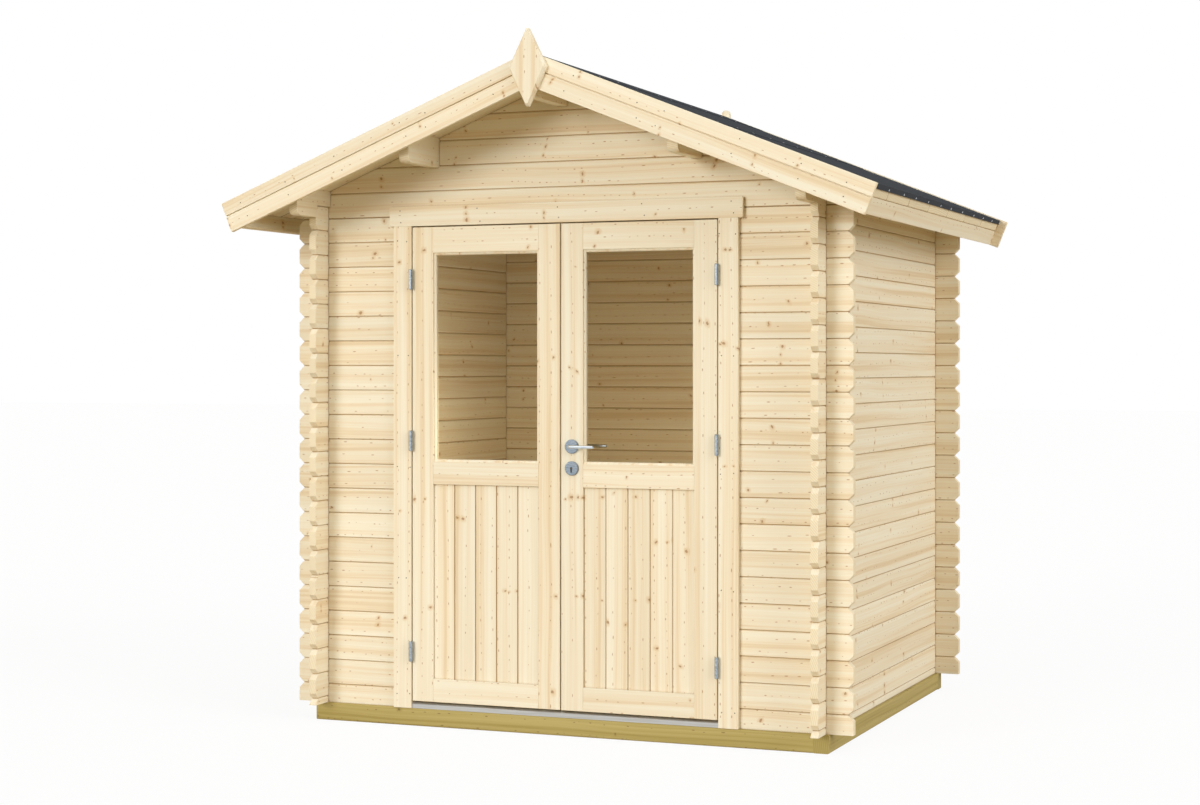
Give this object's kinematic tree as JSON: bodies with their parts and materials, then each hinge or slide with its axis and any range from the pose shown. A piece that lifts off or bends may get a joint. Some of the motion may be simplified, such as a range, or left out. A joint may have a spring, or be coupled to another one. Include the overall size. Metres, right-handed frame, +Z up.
{
  "type": "garden shed",
  "caption": "Small timber garden shed with interlocking log walls on a beam foundation, a gabled felt roof with barge boards and finials, and glazed double doors with a lever handle.",
  "frame": {"origin": "on the ground, under the middle of the roof", "axes": "+Z up, -Y the front with the doors, +X to the right of someone who faces the doors"},
  "size_m": [2.5072, 2.196, 2.5288],
  "materials": {
    "planed_spruce": "bare planed spruce, matt",
    "treated_pine": "pressure treated pine, matt, yellow green",
    "roofing_felt": "mineral surfaced bitumen felt, matt",
    "zinc_plated_steel": "zinc plated, satin",
    "satin_steel": "satin",
    "threshold_strip": "matt",
    "window_glass": "clear"
  },
  "bodies": {
    "root": {"foundation_front": "treated_pine", "foundation_right": "treated_pine", "foundation_back": "treated_pine", "foundation_left": "treated_pine", "floor_joists": "treated_pine", "floor_boards": "planed_spruce", "front_wall_left": "planed_spruce", "front_wall_right": "planed_spruce", "front_gable": "planed_spruce", "back_wall": "planed_spruce", "left_wall": "planed_spruce", "right_wall": "planed_spruce", "left_wall_plate": "planed_spruce", "right_wall_plate": "planed_spruce", "left_purlin": "planed_spruce", "ridge_purlin": "planed_spruce", "right_purlin": "planed_spruce", "left_roof_boards": "planed_spruce", "right_roof_boards": "planed_spruce", "left_roof_felt": "roofing_felt", "right_roof_felt": "roofing_felt", "front_upper_barge_boards": "planed_spruce", "front_lower_barge_boards": "planed_spruce", "back_upper_barge_boards": "planed_spruce", "back_lower_barge_boards": "planed_spruce", "left_eave_board": "planed_spruce", "right_eave_board": "planed_spruce", "front_finial": "planed_spruce", "back_finial": "planed_spruce", "door_jambs": "planed_spruce", "door_head": "planed_spruce", "door_threshold": "threshold_strip", "door_side_casings": "planed_spruce", "door_head_casing": "planed_spruce", "hinge_frame_halves": "zinc_plated_steel"},
    "left_leaf": {"left_door_stiles": "planed_spruce", "left_door_rails": "planed_spruce", "left_door_boards": "planed_spruce", "left_door_glass": "window_glass", "left_door_hinge_halves": "zinc_plated_steel"},
    "right_leaf": {"right_door_stiles": "planed_spruce", "right_door_rails": "planed_spruce", "right_door_boards": "planed_spruce", "right_door_glass": "window_glass", "right_door_hinge_halves": "zinc_plated_steel", "lock_roses": "satin_steel"},
    "lever": {"door_lever": "satin_steel"}
  },
  "joints": [
    {"name": "left_door_hinge", "type": "hinge", "parent": "root", "child": "left_leaf", "pos_m": [-0.6025, -0.8023, 0.9], "axis": [0, 0, -1], "range_deg": [0, 150]},
    {"name": "right_door_hinge", "type": "hinge", "parent": "root", "child": "right_leaf", "pos_m": [0.6025, -0.8023, 0.9], "axis": [0, 0, 1], "range_deg": [0, 150]},
    {"name": "lever_turn", "type": "hinge", "parent": "right_leaf", "child": "lever", "pos_m": [0.0455, -0.773, 1.052], "axis": [0, 1, 0], "range_deg": [0, 45], "stiffness_Nm_per_rad": 1.5, "springref_deg": -20.05}
  ]
}
